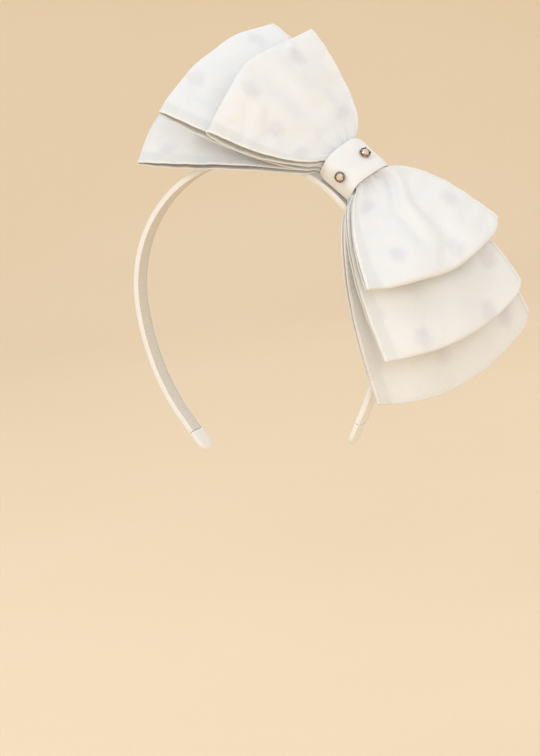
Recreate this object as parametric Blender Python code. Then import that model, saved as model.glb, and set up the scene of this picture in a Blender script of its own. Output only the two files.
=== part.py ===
"""Three-tier fabric bow on a slim ribbon-covered headband.

Metres, +Z up. The origin is the centre of the head that the band sits on: the band lies in the
XZ plane, its crown is at +Z and the bow is on the +X side. Every layer is a separate solid.
The bow is modelled flat in its own frame (X along the band, Y across it, Z out from it), and
the bow_frame empty sets it on the band.
"""

import math

import bpy
import numpy as np
from mathutils import Matrix, Vector

# ---- clearances ----
GAP = 0.0003                # between pieces that touch
FLEX_CUT = 0.0006           # split across the band where an arm flexes

# ---- headband ----
CROWN_RADIUS = 0.068        # crown arc, to the middle of the band's thickness
DROP_RADIUS = 0.092         # the lower half is an ellipse with this half height
STRAIGHT_FROM = 130.0       # degrees from the crown where the straight tips begin
TIP_LENGTH = 0.022          # straight run at each end
FLEX_ANGLE = 104.0          # degrees from the crown to the line that each arm flexes about
CORE_WIDTH = 0.0084
CORE_THICK = 0.0012
RIBBON_THICK = 0.0005       # outer satin ribbon
LINING_THICK = 0.0004       # inner ribbon
BAND_STEP = 5.0             # degrees between stations along the band

# ---- ribbon pockets over the two tips ----
POCKET_LENGTH = 0.012
POCKET_WALL = 0.0007
POCKET_DEPTH = 0.0075       # how far the core goes in

# ---- where the bow sits ----
BOW_ANGLE = 46.0            # degrees from the crown
BOW_TILT = 30.0             # degrees that its face leans towards -Y
BOW_SHIFT = 0.003           # middle of the neck towards +Y
GLUE_LENGTH = 0.016         # bead of glue between the strap and the band
GLUE_LEAST = 0.0006         # height of the strap's lowest point above the band's face
GLUE_INSET = 0.0002         # it stops this far inside each edge of the band's core

# ---- fabric of the loops ----
SHEET_THICK = 0.0005        # organza, and the lining inside it
LAYER_PITCH = SHEET_THICK + GAP                         # organza's middle to its lining's middle
NECK_OPENING = (LAYER_PITCH + SHEET_THICK) / 2 + GAP    # half distance between a tier's two sides
TIER_HALF = NECK_OPENING + (LAYER_PITCH + SHEET_THICK) / 2
TIER_PITCH = 2 * TIER_HALF + 0.0004                     # one tier's middle to the next's, at the neck
NECK_HALF_LENGTH = 0.010    # from the middle of the neck to where a loop starts
ACROSS = (-1.0, -0.84, -0.5, -0.1, 0.3, 0.65, 0.95, 1.0)   # stations, as shares of half width
LOOP_STEPS = 8              # stations from neck to tip on one sheet
FOLD_ROUNDNESS = 2.4
PUFF_GROWTH = 1.8           # how late along the loop the sheets part
NECK_BEND = 0.3             # share of a loop's length over which it leaves the neck straight
BELLY_GROWTH = 0.6          # below 1, the long edges bow out most near the neck

# Each tier is one strip sewn into a ring and pinched at the middle. rank is its place in the
# stack, reach is from the middle of the neck to the line between a tip's corners, neck is its
# half width at the neck as a share of the strap's, bulge is how far the tip bows out past that
# line, and arch is how far the long edges curl back towards the head. A loop is (sweep, lift,
# twist, near belly, far belly): a lift is in degrees if it is up, and if it is down it is a share
# of half the angle that the band turns through over the loop's reach. The bellies are how far
# the -Y and +Y edges bow out.
TIERS = {
    "front": dict(rank=1, reach=0.062, tip_width=0.085, neck=0.614, bulge=0.010, arch=0.001,
                  puff=0.0050, left=(-8, 10, 5, 0.006, 0.006), right=(-11, 3, 1, 0.005, 0.004)),
    "middle": dict(rank=0, reach=0.091, tip_width=0.082, neck=0.768, bulge=0.008, arch=0.003,
                   puff=0.0045, left=(0, -0.21, 7, 0.007, 0.006),
                   right=(-11, -0.26, 9, 0.010, 0.006)),
    "back": dict(rank=-1, reach=0.106, tip_width=0.090, neck=0.614, bulge=0.011, arch=0.003,
                 puff=0.0040, left=(-1, -0.56, 14, 0.009, 0.009),
                 right=(-7, -0.54, 16, 0.014, 0.009)),
}

# ---- gathering thread ----
THREAD_RADIUS = 0.0003
THREAD_TURNS = 3
THREAD_PITCH = 0.0012
THREAD_STEPS = 30           # points in a turn

# ---- knot strap round the neck of the bow ----
STRAP_WIDTH = 0.021         # along the band
STRAP_THICK = 0.0011
STRAP_HALF_ACROSS = 0.014
STRAP_HALF_DEEP = TIER_PITCH + TIER_HALF + 2 * THREAD_RADIUS + GAP + STRAP_THICK + 0.0013
STRAP_ROUNDNESS = 3.0       # exponent of the superellipse section
STRAP_SEAM = 262.0          # degrees round the section where its two ends meet
STRAP_SEAM_GAP = 0.0006

# ---- rhinestones in prong settings, on the strap ----
STONES = {"near": (152.0, 0.0012), "far": (78.0, 0.0)}    # degrees round the section, along
STONE_RADIUS = 0.0020
STONE_TABLE = 0.0012
STONE_GIRDLE_HEIGHT = 0.0015
STONE_CROWN = 0.0010
STONE_PAVILION = 0.00105
CUP_WALL = 0.00035
CUP_RIM = 0.0016
CUP_BASE_HOLE = 0.0012
PRONG_HEIGHT = 0.0023
PRONG_INNER = 0.0018
CUP_SEGMENTS = 24
PRONG_SEGMENTS = 2


# ---- scene helpers ----

def clear_scene():
    for obj in list(bpy.data.objects):
        bpy.data.objects.remove(obj, do_unlink=True)


def material(name, colour, roughness, metallic=0.0):
    mat = bpy.data.materials.new(name)
    mat.use_nodes = True
    shader = mat.node_tree.nodes["Principled BSDF"]
    shader.inputs["Base Color"].default_value = (*colour, 1.0)
    shader.inputs["Roughness"].default_value = roughness
    shader.inputs["Metallic"].default_value = metallic
    return mat


def add_empty(name, matrix):
    empty = bpy.data.objects.new(name, None)
    empty.matrix_world = matrix
    bpy.context.collection.objects.link(empty)
    return empty


def add_mesh(name, points, faces, mat, parent=None, smooth=True):
    mesh = bpy.data.meshes.new(name)
    mesh.from_pydata([tuple(p) for p in points], [], faces)
    mesh.update()
    if smooth:
        mesh.shade_smooth()
        mesh.set_sharp_from_angle(angle=math.radians(35))
    mesh.materials.append(mat)
    obj = bpy.data.objects.new(name, mesh)
    obj.parent = parent
    bpy.context.collection.objects.link(obj)
    return obj


def grid_faces(rows, columns, wrap_rows=False, wrap_columns=False):
    """Quads over a grid of points that is stored row by row."""
    faces = []
    for i in range(rows if wrap_rows else rows - 1):
        for j in range(columns if wrap_columns else columns - 1):
            k, m = (i + 1) % rows, (j + 1) % columns
            faces.append((i * columns + j, k * columns + j, k * columns + m, i * columns + m))
    return faces


def band_sweep(name, profile, stations, mat, parent=None):
    """Sweep a closed (across, out) profile along stations of (point, outward)."""
    shift = parent.matrix_world.translation if parent else Vector()
    points = []
    for centre, outward in stations:
        for across, out in profile:
            points.append(centre + outward * out + Vector((0, across, 0)) - shift)
    count = len(profile)
    faces = grid_faces(len(stations), count, wrap_columns=True)
    faces.append(tuple(range(count)))
    faces.append(tuple(reversed(range((len(stations) - 1) * count, len(stations) * count))))
    return add_mesh(name, points, outward_faces(points, faces), mat, parent)


def outward_faces(points, faces):
    """Turn every face round if the closed surface they make is inside out."""
    volume = 0.0
    for face in faces:
        first = Vector(points[face[0]])
        for i in range(1, len(face) - 1):
            volume += first.dot(Vector(points[face[i]]).cross(Vector(points[face[i + 1]])))
    return faces if volume > 0 else [tuple(reversed(face)) for face in faces]


# ---- the line that the band follows ----

def band_station(degrees):
    """Middle of the band's thickness and its outward direction, from the crown towards +X."""
    angle = math.radians(degrees)
    half_height = CROWN_RADIUS if abs(degrees) <= 90 else DROP_RADIUS
    point = Vector((CROWN_RADIUS * math.sin(angle), 0, half_height * math.cos(angle)))
    outward = Vector((half_height * math.sin(angle), 0, CROWN_RADIUS * math.cos(angle)))
    return point, outward.normalized()


def tip_station(side, distance):
    """The same, on a straight tip, at a distance past where it begins."""
    start, outward = band_station(side * STRAIGHT_FROM)
    along = Vector((outward.z, 0, -outward.x)) * side
    return start + along * distance, outward


def cut_degrees():
    """Half of the flex cut, as an angle along the band."""
    angle = math.radians(FLEX_ANGLE)
    half_height = CROWN_RADIUS if FLEX_ANGLE <= 90 else DROP_RADIUS
    metres_per_radian = math.hypot(CROWN_RADIUS * math.cos(angle), half_height * math.sin(angle))
    return math.degrees((FLEX_CUT / 2) / metres_per_radian)


def crown_stations():
    last = FLEX_ANGLE - cut_degrees()
    count = 2 * round(last / BAND_STEP)
    return [band_station(last * (2 * i / count - 1)) for i in range(count + 1)]


def arm_stations(side, tip_end):
    first = FLEX_ANGLE + cut_degrees()
    count = round((STRAIGHT_FROM - first) / BAND_STEP)
    stations = []
    for i in range(count + 1):
        stations.append(band_station(side * (first + (STRAIGHT_FROM - first) * i / count)))
    stations.append(tip_station(side, tip_end))
    return stations


# ---- band profiles, as (across, out) ----

def rectangle(half_width, low, high):
    return [(-half_width, low), (half_width, low), (half_width, high), (-half_width, high)]


def core_profile():
    return rectangle(CORE_WIDTH / 2, -CORE_THICK / 2, CORE_THICK / 2)


def ribbon_inner_half():
    return CORE_WIDTH / 2 + GAP


def ribbon_outer_half():
    return ribbon_inner_half() + RIBBON_THICK


def band_top():
    return CORE_THICK / 2 + GAP + RIBBON_THICK


def band_bottom():
    return -(CORE_THICK / 2 + GAP + LINING_THICK)


def ribbon_profile():
    """A channel that covers the outer face and both edges of the core."""
    inner, outer = ribbon_inner_half(), ribbon_outer_half()
    under, low, top = CORE_THICK / 2 + GAP, band_bottom(), band_top()
    edge = RIBBON_THICK * 0.5
    return [(-outer, low), (-inner, low), (-inner, under), (inner, under), (inner, low),
            (outer, low), (outer, top - edge), (outer - edge, top),
            (edge - outer, top), (-outer, top - edge)]


def lining_profile():
    return rectangle(ribbon_inner_half() - GAP, band_bottom(), -CORE_THICK / 2 - GAP)


def pocket_start():
    """Where a tip pocket begins, as a distance along the straight tip."""
    return TIP_LENGTH - POCKET_LENGTH


def build_band(mats, hinges):
    band_sweep("crown_core", core_profile(), crown_stations(), mats["core"])
    band_sweep("crown_ribbon", ribbon_profile(), crown_stations(), mats["satin"])
    band_sweep("crown_lining", lining_profile(), crown_stations(), mats["lining_ribbon"])
    for side, word in ((-1, "left"), (1, "right")):
        hinge = hinges[side]
        core = arm_stations(side, pocket_start() + POCKET_DEPTH)
        cover = arm_stations(side, pocket_start() - GAP)
        band_sweep(word + "_arm_core", core_profile(), core, mats["core"], hinge)
        band_sweep(word + "_arm_ribbon", ribbon_profile(), cover, mats["satin"], hinge)
        band_sweep(word + "_arm_lining", lining_profile(), cover, mats["lining_ribbon"], hinge)
        build_pocket(word + "_tip_pocket", side, mats["satin"], hinge)


def build_pocket(name, side, mat, hinge):
    """A round-ended ribbon pocket with a blind slot that the core's end goes into."""
    start, outward = tip_station(side, pocket_start())
    along = (tip_station(side, TIP_LENGTH)[0] - start).normalized()
    half = CORE_WIDTH / 2 + GAP + POCKET_WALL
    slot_half = CORE_WIDTH / 2 + GAP
    slot_deep = CORE_THICK / 2 + GAP
    slot_end = POCKET_DEPTH + GAP
    outline = [(0.0, -half)]
    for i in range(13):
        turn = math.radians(-90 + 15 * i)
        outline.append((POCKET_LENGTH - half + half * math.cos(turn), half * math.sin(turn)))
    outline.append((0.0, half))
    slot = [(0.0, -slot_half), (slot_end, -slot_half), (slot_end, slot_half), (0.0, slot_half)]
    thick = slot_deep + POCKET_WALL
    shift = start - hinge.matrix_world.translation
    points = []
    for ring, out in ((outline, -thick), (outline, thick), (slot, -slot_deep), (slot, slot_deep)):
        for forward, across in ring:
            points.append(shift + along * forward + Vector((0, across, 0)) + outward * out)
    n = len(outline)
    low, high, slot_low, slot_high = 0, n, 2 * n, 2 * n + 4
    faces = [tuple(range(low, low + n)), tuple(reversed(range(high, high + n)))]
    for i in range(n - 1):
        faces.append((low + i, high + i, high + i + 1, low + i + 1))
    faces.append((slot_low + 3, slot_low + 2, slot_low + 1, slot_low))
    faces.append((slot_high, slot_high + 1, slot_high + 2, slot_high + 3))
    for i in range(3):
        faces.append((slot_low + i, slot_low + i + 1, slot_high + i + 1, slot_high + i))
    # the open end is a rectangle with the slot's rectangle inside it
    faces.append((low, slot_low, slot_high, high))
    faces.append((low + n - 1, high + n - 1, slot_high + 3, slot_low + 3))
    faces.append((low, low + n - 1, slot_low + 3, slot_low))
    faces.append((high, slot_high, slot_high + 3, high + n - 1))
    add_mesh(name, points, outward_faces(points, faces), mat, hinge)


# ---- loops of the bow, in the bow's own frame ----

def loop_frame(side, sweep, lift, twist):
    """Reach and width directions of a loop's tip."""
    sweep, lift, twist = (math.radians(value) for value in (sweep, lift, twist))
    reach = np.array([side, 0.0, 0.0])
    width = np.array([0.0, 1.0, 0.0])
    out = np.array([0.0, 0.0, 1.0])
    reach, width = (reach * math.cos(sweep) + width * math.sin(sweep),
                    width * math.cos(sweep) - reach * math.sin(sweep))
    reach, out = (reach * math.cos(lift) + out * math.sin(lift),
                  out * math.cos(lift) - reach * math.sin(lift))
    return reach, width * math.cos(twist) + out * math.sin(twist)


def band_fall(reach):
    """Half the angle, in degrees, that the band turns through over a loop's reach."""
    return math.degrees(reach / CROWN_RADIUS / 2)


def loop_point(tier, side, loop, along, across, level):
    """Point at along (0 neck to 1 tip corner), across (-1 to 1) and level out of the middle."""
    sweep, lift, twist, near_belly, far_belly = loop
    if lift < 0:
        lift *= band_fall(tier["reach"])
    reach, tip_width = loop_frame(side, sweep, lift, twist)
    start = np.array([side * NECK_HALF_LENGTH, 0.0, tier["rank"] * TIER_PITCH])
    length = tier["reach"] - NECK_HALF_LENGTH
    end = start + reach * length
    bend = start + np.array([side * length * NECK_BEND, 0.0, 0.0])
    centre = start * (1 - along) ** 2 + bend * 2 * along * (1 - along) + end * along ** 2
    forward = (bend - start) * 2 * (1 - along) + (end - bend) * 2 * along
    forward /= np.linalg.norm(forward)
    blend = along * along * (3 - 2 * along)
    width = np.array([0.0, 1.0, 0.0]) * (1 - blend) + tip_width * blend
    width /= np.linalg.norm(width)
    normal = np.cross(forward, width) * side
    normal /= np.linalg.norm(normal)
    half = tier["neck"] * STRAP_HALF_ACROSS * (1 - along) + tier["tip_width"] / 2 * along
    bow = along ** BELLY_GROWTH
    half += (near_belly if across < 0 else far_belly) * 4 * bow * (1 - bow)
    centre += forward * tier["bulge"] * along ** 2 * (1 - across ** 2)
    return centre + width * half * across + normal * (level - tier["arch"] * along * across ** 2)


def fold_stations():
    """(along, level share) from the front neck round the folded tip to the back neck."""
    stations = []
    for i in range(2 * LOOP_STEPS + 1):
        turn = math.pi / 2 * (1 - i / LOOP_STEPS)
        power = 2 / FOLD_ROUNDNESS
        along = abs(math.cos(turn)) ** power if 0 < i < 2 * LOOP_STEPS else 0.0
        share = math.copysign(abs(math.sin(turn)) ** power, math.sin(turn))
        stations.append((along, share if i != LOOP_STEPS else 0.0))
    return stations


def tier_grid(tier):
    """Points midway between a tier's organza and lining, a row for each station round it."""
    fold = fold_stations()
    route = [(-1, tier["left"], *station) for station in reversed(fold)]
    route += [(1, tier["right"], *station) for station in fold]
    rows = []
    for side, loop, along, share in route:
        level = share * (NECK_OPENING + tier["puff"] * along ** PUFF_GROWTH)
        rows.append([loop_point(tier, side, loop, along, v, level) for v in ACROSS])
    return np.array(rows)


def offset_grid(grid, distance):
    """Move a ring's points along its outward normal."""
    around = np.roll(grid, -1, axis=0) - np.roll(grid, 1, axis=0)
    across = np.gradient(grid, axis=1)
    normal = np.cross(around, across)
    normal /= np.linalg.norm(normal, axis=2, keepdims=True)
    return grid + normal * distance


def build_sheet(name, grid, mat, parent):
    rows, columns = grid.shape[:2]
    faces = [tuple(reversed(f)) for f in grid_faces(rows, columns, wrap_rows=True)]
    obj = add_mesh(name, grid.reshape(-1, 3), faces, mat, parent)
    solid = obj.modifiers.new("thickness", "SOLIDIFY")
    solid.thickness = SHEET_THICK
    solid.offset = 0.0
    return obj


def build_tiers(mats, bow_frame):
    """Each tier is an organza ring round a narrower lining ring."""
    for word, tier in TIERS.items():
        middle = tier_grid(tier)
        outer = offset_grid(middle, LAYER_PITCH / 2)
        inner = offset_grid(middle, -LAYER_PITCH / 2)[:, 1:-1]
        build_sheet(word + "_tier", outer, mats["organza"], bow_frame)
        build_sheet(word + "_tier_lining", inner, mats["loop_lining"], bow_frame)


# ---- knot strap, thread and glue ----

def section_point(degrees, half_across, half_deep):
    """Point on a superellipse in the bow's YZ plane."""
    angle = math.radians(degrees)
    power = 2 / STRAP_ROUNDNESS
    across = math.copysign(abs(math.cos(angle)) ** power, math.cos(angle))
    deep = math.copysign(abs(math.sin(angle)) ** power, math.sin(angle))
    return half_across * across, half_deep * deep


def section_normal(degrees, half_across, half_deep):
    across, deep = section_point(degrees, 1.0, 1.0)
    power = STRAP_ROUNDNESS - 1
    normal = Vector((0, math.copysign(abs(across) ** power, across) / half_across,
                     math.copysign(abs(deep) ** power, deep) / half_deep))
    return normal.normalized()


def build_strap(mat, bow_frame):
    """A strip wrapped once round the neck, its two ends meeting on the underside."""
    steps = 44
    opening = math.degrees(STRAP_SEAM_GAP / STRAP_HALF_ACROSS)
    points = []
    for i in range(steps + 1):
        degrees = STRAP_SEAM + opening / 2 + (360 - opening) * i / steps
        for shrink, half in ((0, -1), (0, 1), (STRAP_THICK, 1), (STRAP_THICK, -1)):
            y, z = section_point(degrees, STRAP_HALF_ACROSS - shrink, STRAP_HALF_DEEP - shrink)
            points.append((half * STRAP_WIDTH / 2, y, z))
    faces = grid_faces(steps + 1, 4, wrap_columns=True)
    faces += [(0, 1, 2, 3), tuple(4 * steps + i for i in (3, 2, 1, 0))]
    add_mesh("knot_strap", points, outward_faces(points, faces), mat, bow_frame)


def build_thread(mat, bow_frame):
    """Turns of thread that gather the neck, between the tiers and the strap."""
    room = STRAP_THICK + GAP + THREAD_RADIUS
    curve = bpy.data.curves.new("gather_thread", "CURVE")
    curve.dimensions = "3D"
    curve.bevel_depth = THREAD_RADIUS
    curve.bevel_resolution = 1
    curve.use_fill_caps = True
    count = THREAD_TURNS * THREAD_STEPS + 1
    spline = curve.splines.new("POLY")
    spline.points.add(count - 1)
    for i in range(count):
        y, z = section_point(360 * i / THREAD_STEPS, STRAP_HALF_ACROSS - room,
                             STRAP_HALF_DEEP - room)
        x = THREAD_PITCH * (i / THREAD_STEPS - THREAD_TURNS / 2)
        spline.points[i].co = (x, y, z, 1)
    curve.materials.append(mat)
    obj = bpy.data.objects.new("gather_thread", curve)
    obj.parent = bow_frame
    bpy.context.collection.objects.link(obj)


def tilted_section():
    """The strap's outline across the band, as (y, height) about the middle of the neck."""
    tilt = math.radians(BOW_TILT)
    outline = []
    for degrees in range(0, 360, 2):
        across, deep = section_point(degrees, STRAP_HALF_ACROSS, STRAP_HALF_DEEP)
        outline.append((across * math.cos(tilt) - deep * math.sin(tilt),
                        across * math.sin(tilt) + deep * math.cos(tilt)))
    return outline


def bow_rise():
    """Height of the middle of the neck above the middle of the band's thickness."""
    lowest = min(height for _, height in tilted_section())
    return band_top() + GLUE_LEAST - lowest


def strap_underside(y):
    """Height of the strap's lower side above the middle of the band, at y across the band."""
    rise = bow_rise()
    outline = [(BOW_SHIFT + a, rise + h) for a, h in tilted_section()]
    lowest = None
    for (y0, z0), (y1, z1) in zip(outline, outline[1:] + outline[:1]):
        if min(y0, y1) <= y <= max(y0, y1) and y0 != y1:
            height = z0 + (z1 - z0) * (y - y0) / (y1 - y0)
            lowest = height if lowest is None else min(lowest, height)
    return lowest


def build_glue(mat, seat):
    """A bead that fills the wedge between the band's outer face and the strap's underside."""
    steps = 8
    half = CORE_WIDTH / 2 - GLUE_INSET
    outline = [(-half, band_top() + GAP), (half, band_top() + GAP)]
    for i in range(steps + 1):
        y = half * (1 - 2 * i / steps)
        outline.append((y, strap_underside(y) - GAP))
    points = [(x, y, z) for x in (-GLUE_LENGTH / 2, GLUE_LENGTH / 2) for y, z in outline]
    n = len(outline)
    faces = [tuple(reversed(range(n))), tuple(range(n, 2 * n))]
    for i in range(n):
        faces.append((i, (i + 1) % n, n + (i + 1) % n, n + i))
    add_mesh("glue_bed", points, outward_faces(points, faces), mat, seat)


# ---- rhinestones ----

def stone_matrix(degrees, along):
    """Frame on the strap's outer face with Z out of the strap."""
    y, z = section_point(degrees, STRAP_HALF_ACROSS, STRAP_HALF_DEEP)
    out = section_normal(degrees, STRAP_HALF_ACROSS, STRAP_HALF_DEEP)
    side = Vector((1, 0, 0))
    across = out.cross(side)
    frame = Matrix((side, across, out)).transposed().to_4x4()
    return Matrix.Translation((along, y, z)) @ frame


def ring(count, radius, height, turn=0.0):
    points = []
    for i in range(count):
        angle = math.radians(360 * i / count + turn)
        points.append((radius * math.cos(angle), radius * math.sin(angle), height))
    return points


def build_stone(name, mat, seat):
    """Brilliant cut: a table of 8 sides, a girdle of 16 and a pointed pavilion."""
    girdle, top = STONE_GIRDLE_HEIGHT, STONE_GIRDLE_HEIGHT + STONE_CROWN
    points = ring(8, STONE_TABLE, top, 22.5)
    points += ring(16, STONE_RADIUS, girdle)
    points += [(0, 0, girdle - STONE_PAVILION)]
    faces = [tuple(range(8))]
    for i in range(8):
        a, b = 8 + 2 * i, 8 + (2 * i + 1) % 16
        c = 8 + (2 * i + 2) % 16
        this, following = i, (i + 1) % 8
        faces.append((a, b, this))
        faces.append((b, c, this))
        faces.append((this, c, following))
    for i in range(16):
        faces.append((8 + (i + 1) % 16, 8 + i, 24))
    add_mesh(name, points, outward_faces(points, faces), mat, seat, smooth=False)


def build_setting(name, mat, seat):
    """An open cup whose wall rises into four prongs that lean over the stone."""
    inner = STONE_RADIUS + GAP
    outer = inner + CUP_WALL
    floor, base = 2 * GAP, GAP
    per_prong = CUP_SEGMENTS // 4
    points = []
    for i in range(CUP_SEGMENTS):
        angle = 2 * math.pi * i / CUP_SEGMENTS
        prong = i % per_prong < PRONG_SEGMENTS
        if prong:
            rim = [(outer - GAP, PRONG_HEIGHT), (PRONG_INNER, PRONG_HEIGHT)]
        else:
            rim = [(outer, CUP_RIM), (inner, CUP_RIM)]
        profile = [(CUP_BASE_HOLE, base), (outer, base), *rim,
                   (inner, STONE_GIRDLE_HEIGHT), (inner, floor), (CUP_BASE_HOLE, floor)]
        for radius, height in profile:
            points.append((radius * math.cos(angle), radius * math.sin(angle), height))
    faces = grid_faces(CUP_SEGMENTS, 7, wrap_rows=True, wrap_columns=True)
    add_mesh(name, points, outward_faces(points, faces), mat, seat, smooth=False)


def build_stones(mats, bow_frame):
    for word, (degrees, along) in STONES.items():
        seat = add_empty(word + "_stone_seat", Matrix())
        seat.parent = bow_frame
        seat.matrix_local = stone_matrix(degrees, along)
        build_stone(word + "_stone", mats["crystal"], seat)
        build_setting(word + "_setting", mats["metal"], seat)


# ---- assembly ----

def main():
    clear_scene()
    mats = {
        "core": material("core", (0.82, 0.80, 0.76), 0.5),
        "satin": material("satin", (0.93, 0.92, 0.89), 0.35),
        "lining_ribbon": material("lining_ribbon", (0.86, 0.83, 0.78), 0.6),
        "organza": material("organza", (0.92, 0.91, 0.89), 0.7),
        "loop_lining": material("loop_lining", (0.93, 0.90, 0.84), 0.7),
        "strap": material("strap", (0.93, 0.92, 0.90), 0.6),
        "thread": material("thread", (0.90, 0.89, 0.86), 0.7),
        "glue": material("glue", (0.85, 0.84, 0.80), 0.4),
        "crystal": material("crystal", (0.95, 0.90, 0.85), 0.05),
        "metal": material("metal", (0.35, 0.28, 0.24), 0.3, 1.0),
    }
    hinges = {}
    for side, word in ((-1, "left"), (1, "right")):
        point = band_station(side * FLEX_ANGLE)[0]
        hinges[side] = add_empty(word + "_arm_hinge", Matrix.Translation(point))
    build_band(mats, hinges)

    point, outward = band_station(BOW_ANGLE)
    turn = Matrix.Rotation(math.radians(BOW_ANGLE), 4, "Y")
    tilt = Matrix.Rotation(math.radians(BOW_TILT), 4, "X")
    middle = point + outward * bow_rise() + Vector((0, BOW_SHIFT, 0))
    glue_seat = add_empty("glue_seat", Matrix.Translation(point) @ turn)
    bow_frame = add_empty("bow_frame", Matrix.Translation(middle) @ turn @ tilt)
    build_glue(mats["glue"], glue_seat)
    build_tiers(mats, bow_frame)
    build_thread(mats["thread"], bow_frame)
    build_strap(mats["strap"], bow_frame)
    build_stones(mats, bow_frame)


main()
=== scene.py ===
"""Looks of the three-tier bow headband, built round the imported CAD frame.

Metres, +Z up, the band in the XZ plane. The bow is worked out flat in its own frame (X along the
band, Y across it, Z out from it) and set on the band by BOW_FRAME.
"""

import math

import bmesh
import bpy
import numpy as np
from mathutils import Matrix, Vector


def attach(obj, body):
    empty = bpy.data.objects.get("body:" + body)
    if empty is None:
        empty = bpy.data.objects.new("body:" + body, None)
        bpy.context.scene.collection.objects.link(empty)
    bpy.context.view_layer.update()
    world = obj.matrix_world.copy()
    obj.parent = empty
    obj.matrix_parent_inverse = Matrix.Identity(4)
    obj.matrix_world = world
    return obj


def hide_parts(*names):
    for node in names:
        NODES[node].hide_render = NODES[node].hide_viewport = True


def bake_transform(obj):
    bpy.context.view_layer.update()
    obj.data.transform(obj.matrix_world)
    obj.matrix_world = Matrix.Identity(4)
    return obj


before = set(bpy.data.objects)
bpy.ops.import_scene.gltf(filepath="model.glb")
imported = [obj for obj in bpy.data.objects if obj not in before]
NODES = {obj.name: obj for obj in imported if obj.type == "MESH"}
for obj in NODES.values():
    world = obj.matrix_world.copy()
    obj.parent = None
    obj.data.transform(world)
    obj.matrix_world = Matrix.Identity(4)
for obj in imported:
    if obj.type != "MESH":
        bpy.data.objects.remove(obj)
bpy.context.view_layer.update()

# ---- the band's line and section, as in the CAD part ----
CROWN_RADIUS = 0.068
DROP_RADIUS = 0.092
STRAIGHT_FROM = 130.0
TIP_LENGTH = 0.022
GAP = 0.0003
CORE_HALF_WIDTH = 0.0042
CORE_HALF_THICK = 0.0006
RIBBON_THICK = 0.0005
LINING_THICK = 0.0004
LINING_MARGIN = 0.8 * GAP   # the inner ribbon's edge past the core's
RIBBON_CROWN = 0.00012      # how far the ribbon's middle stands up
POCKET_LENGTH = 0.012
POCKET_WALL = 0.0007
POCKET_DEPTH = 0.0075
BAND_STEP = 2.0             # degrees between stations

# ---- the bow's place ----
BOW_ANGLE = 46.0
BOW_TILT = 30.0
BOW_RISE = 0.014
BOW_SHIFT = 0.003

# ---- cloth of the loops ----
ORGANZA_THICK = 0.00035
LINING_CLOTH_THICK = 0.0004
SHEET_THICK = 0.0005
LAYER_PITCH = SHEET_THICK + GAP
NECK_OPENING = (LAYER_PITCH + SHEET_THICK) / 2 + GAP
TIER_GAP = 0.0004
TIER_PITCH = 2 * NECK_OPENING + LAYER_PITCH + SHEET_THICK + TIER_GAP
NECK_HALF_LENGTH = 0.010
FOLD_ROUNDNESS = 2.4
PUFF_GROWTH = 1.8
NECK_BEND = 0.3
BELLY_GROWTH = 0.6
LINING_FROM, LINING_TO = -0.84, 0.95
SHEET_STEPS = 34            # stations on one sheet from neck to tip
COLUMNS = 50
SETTLE_FRAMES = 16
SETTLE_SCALE = 10.0         # the cloth run is made this many times larger
SETTLE_MOST = 0.0009        # furthest that settling moves the cloth

# ---- hems and stitches ----
HEM_PROFILE = ((0.0017, 0.00016), (0.0016, 0.00025), (0.0011, 0.00029), (0.0006, 0.00031),
               (0.0001, 0.00028), (-0.00015, 0.00015))    # (in from the edge, off the sheet)
STITCH_INSET = 0.0012
STITCH_PITCH = 0.0022
STITCH_LENGTH = 0.0014
STITCH_RADIUS = 0.00016
TIP_STITCH_INSET = 0.0028

# A loop is (sweep, lift, twist, near belly, far belly, how far its long edges close), with lifts
# in degrees if up and, if down, as a share of half the band's turn over the loop's reach.
TIERS = {
    "front": dict(rank=1, reach=0.062, tip_width=0.085, neck=0.614, bulge=0.010, arch=0.001,
                  puff=0.0050, left=(-8, 10, 5, 0.006, 0.006, 0.3),
                  right=(-11, 3, 1, 0.005, 0.004, 0.8)),
    "middle": dict(rank=0, reach=0.091, tip_width=0.082, neck=0.768, bulge=0.008, arch=0.003,
                   puff=0.0045, left=(0, -0.21, 7, 0.007, 0.006, 0.3),
                   right=(-11, -0.26, 9, 0.010, 0.006, 0.9)),
    "back": dict(rank=-1, reach=0.106, tip_width=0.090, neck=0.614, bulge=0.011, arch=0.003,
                 puff=0.0040, left=(-1, -0.56, 14, 0.009, 0.009, 0.75),
                 right=(-7, -0.54, 16, 0.014, 0.009, 0.92)),
}

# Dots on the front sheet of each loop, as (share along, share across); the back sheets have the
# same ones turned end for end.
DOTS = {
    ("front", -1): ((0.88, 0.58), (0.90, -0.28), (0.61, -0.51), (0.35, 0.66), (0.30, -0.75)),
    ("front", 1): ((0.66, 0.75), (0.92, 0.26), (0.82, -0.50), (0.30, -0.60), (0.97, -0.93)),
    ("middle", -1): ((0.92, 0.62), (0.95, -0.35), (0.62, 0.05), (0.55, -0.80), (0.30, 0.5)),
    ("middle", 1): ((0.80, 0.80), (0.79, -0.93), (0.97, 0.43), (0.95, -0.51), (0.50, -0.1)),
    ("back", -1): ((0.88, -0.80), (0.93, 0.05), (0.80, 0.75), (0.55, -0.45), (0.40, 0.35)),
    ("back", 1): ((0.92, 0.73), (0.88, -0.16), (0.85, -0.92), (0.54, -0.88), (0.60, 0.30)),
}
DOT_RADIUS = 0.0038
DOT_SOFT = 0.0016

# ---- knot strap ----
STRAP_WIDTH = 0.021
STRAP_HALF_ACROSS = 0.014
STRAP_HALF_DEEP = 0.0085
STRAP_THICK = 0.0011        # folded double
STRAP_ROUNDNESS = 3.0
STRAP_SEAM = 262.0          # degrees round the section
STRAP_SEAM_GAP = 0.3        # degrees that the two ends stay apart

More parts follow.
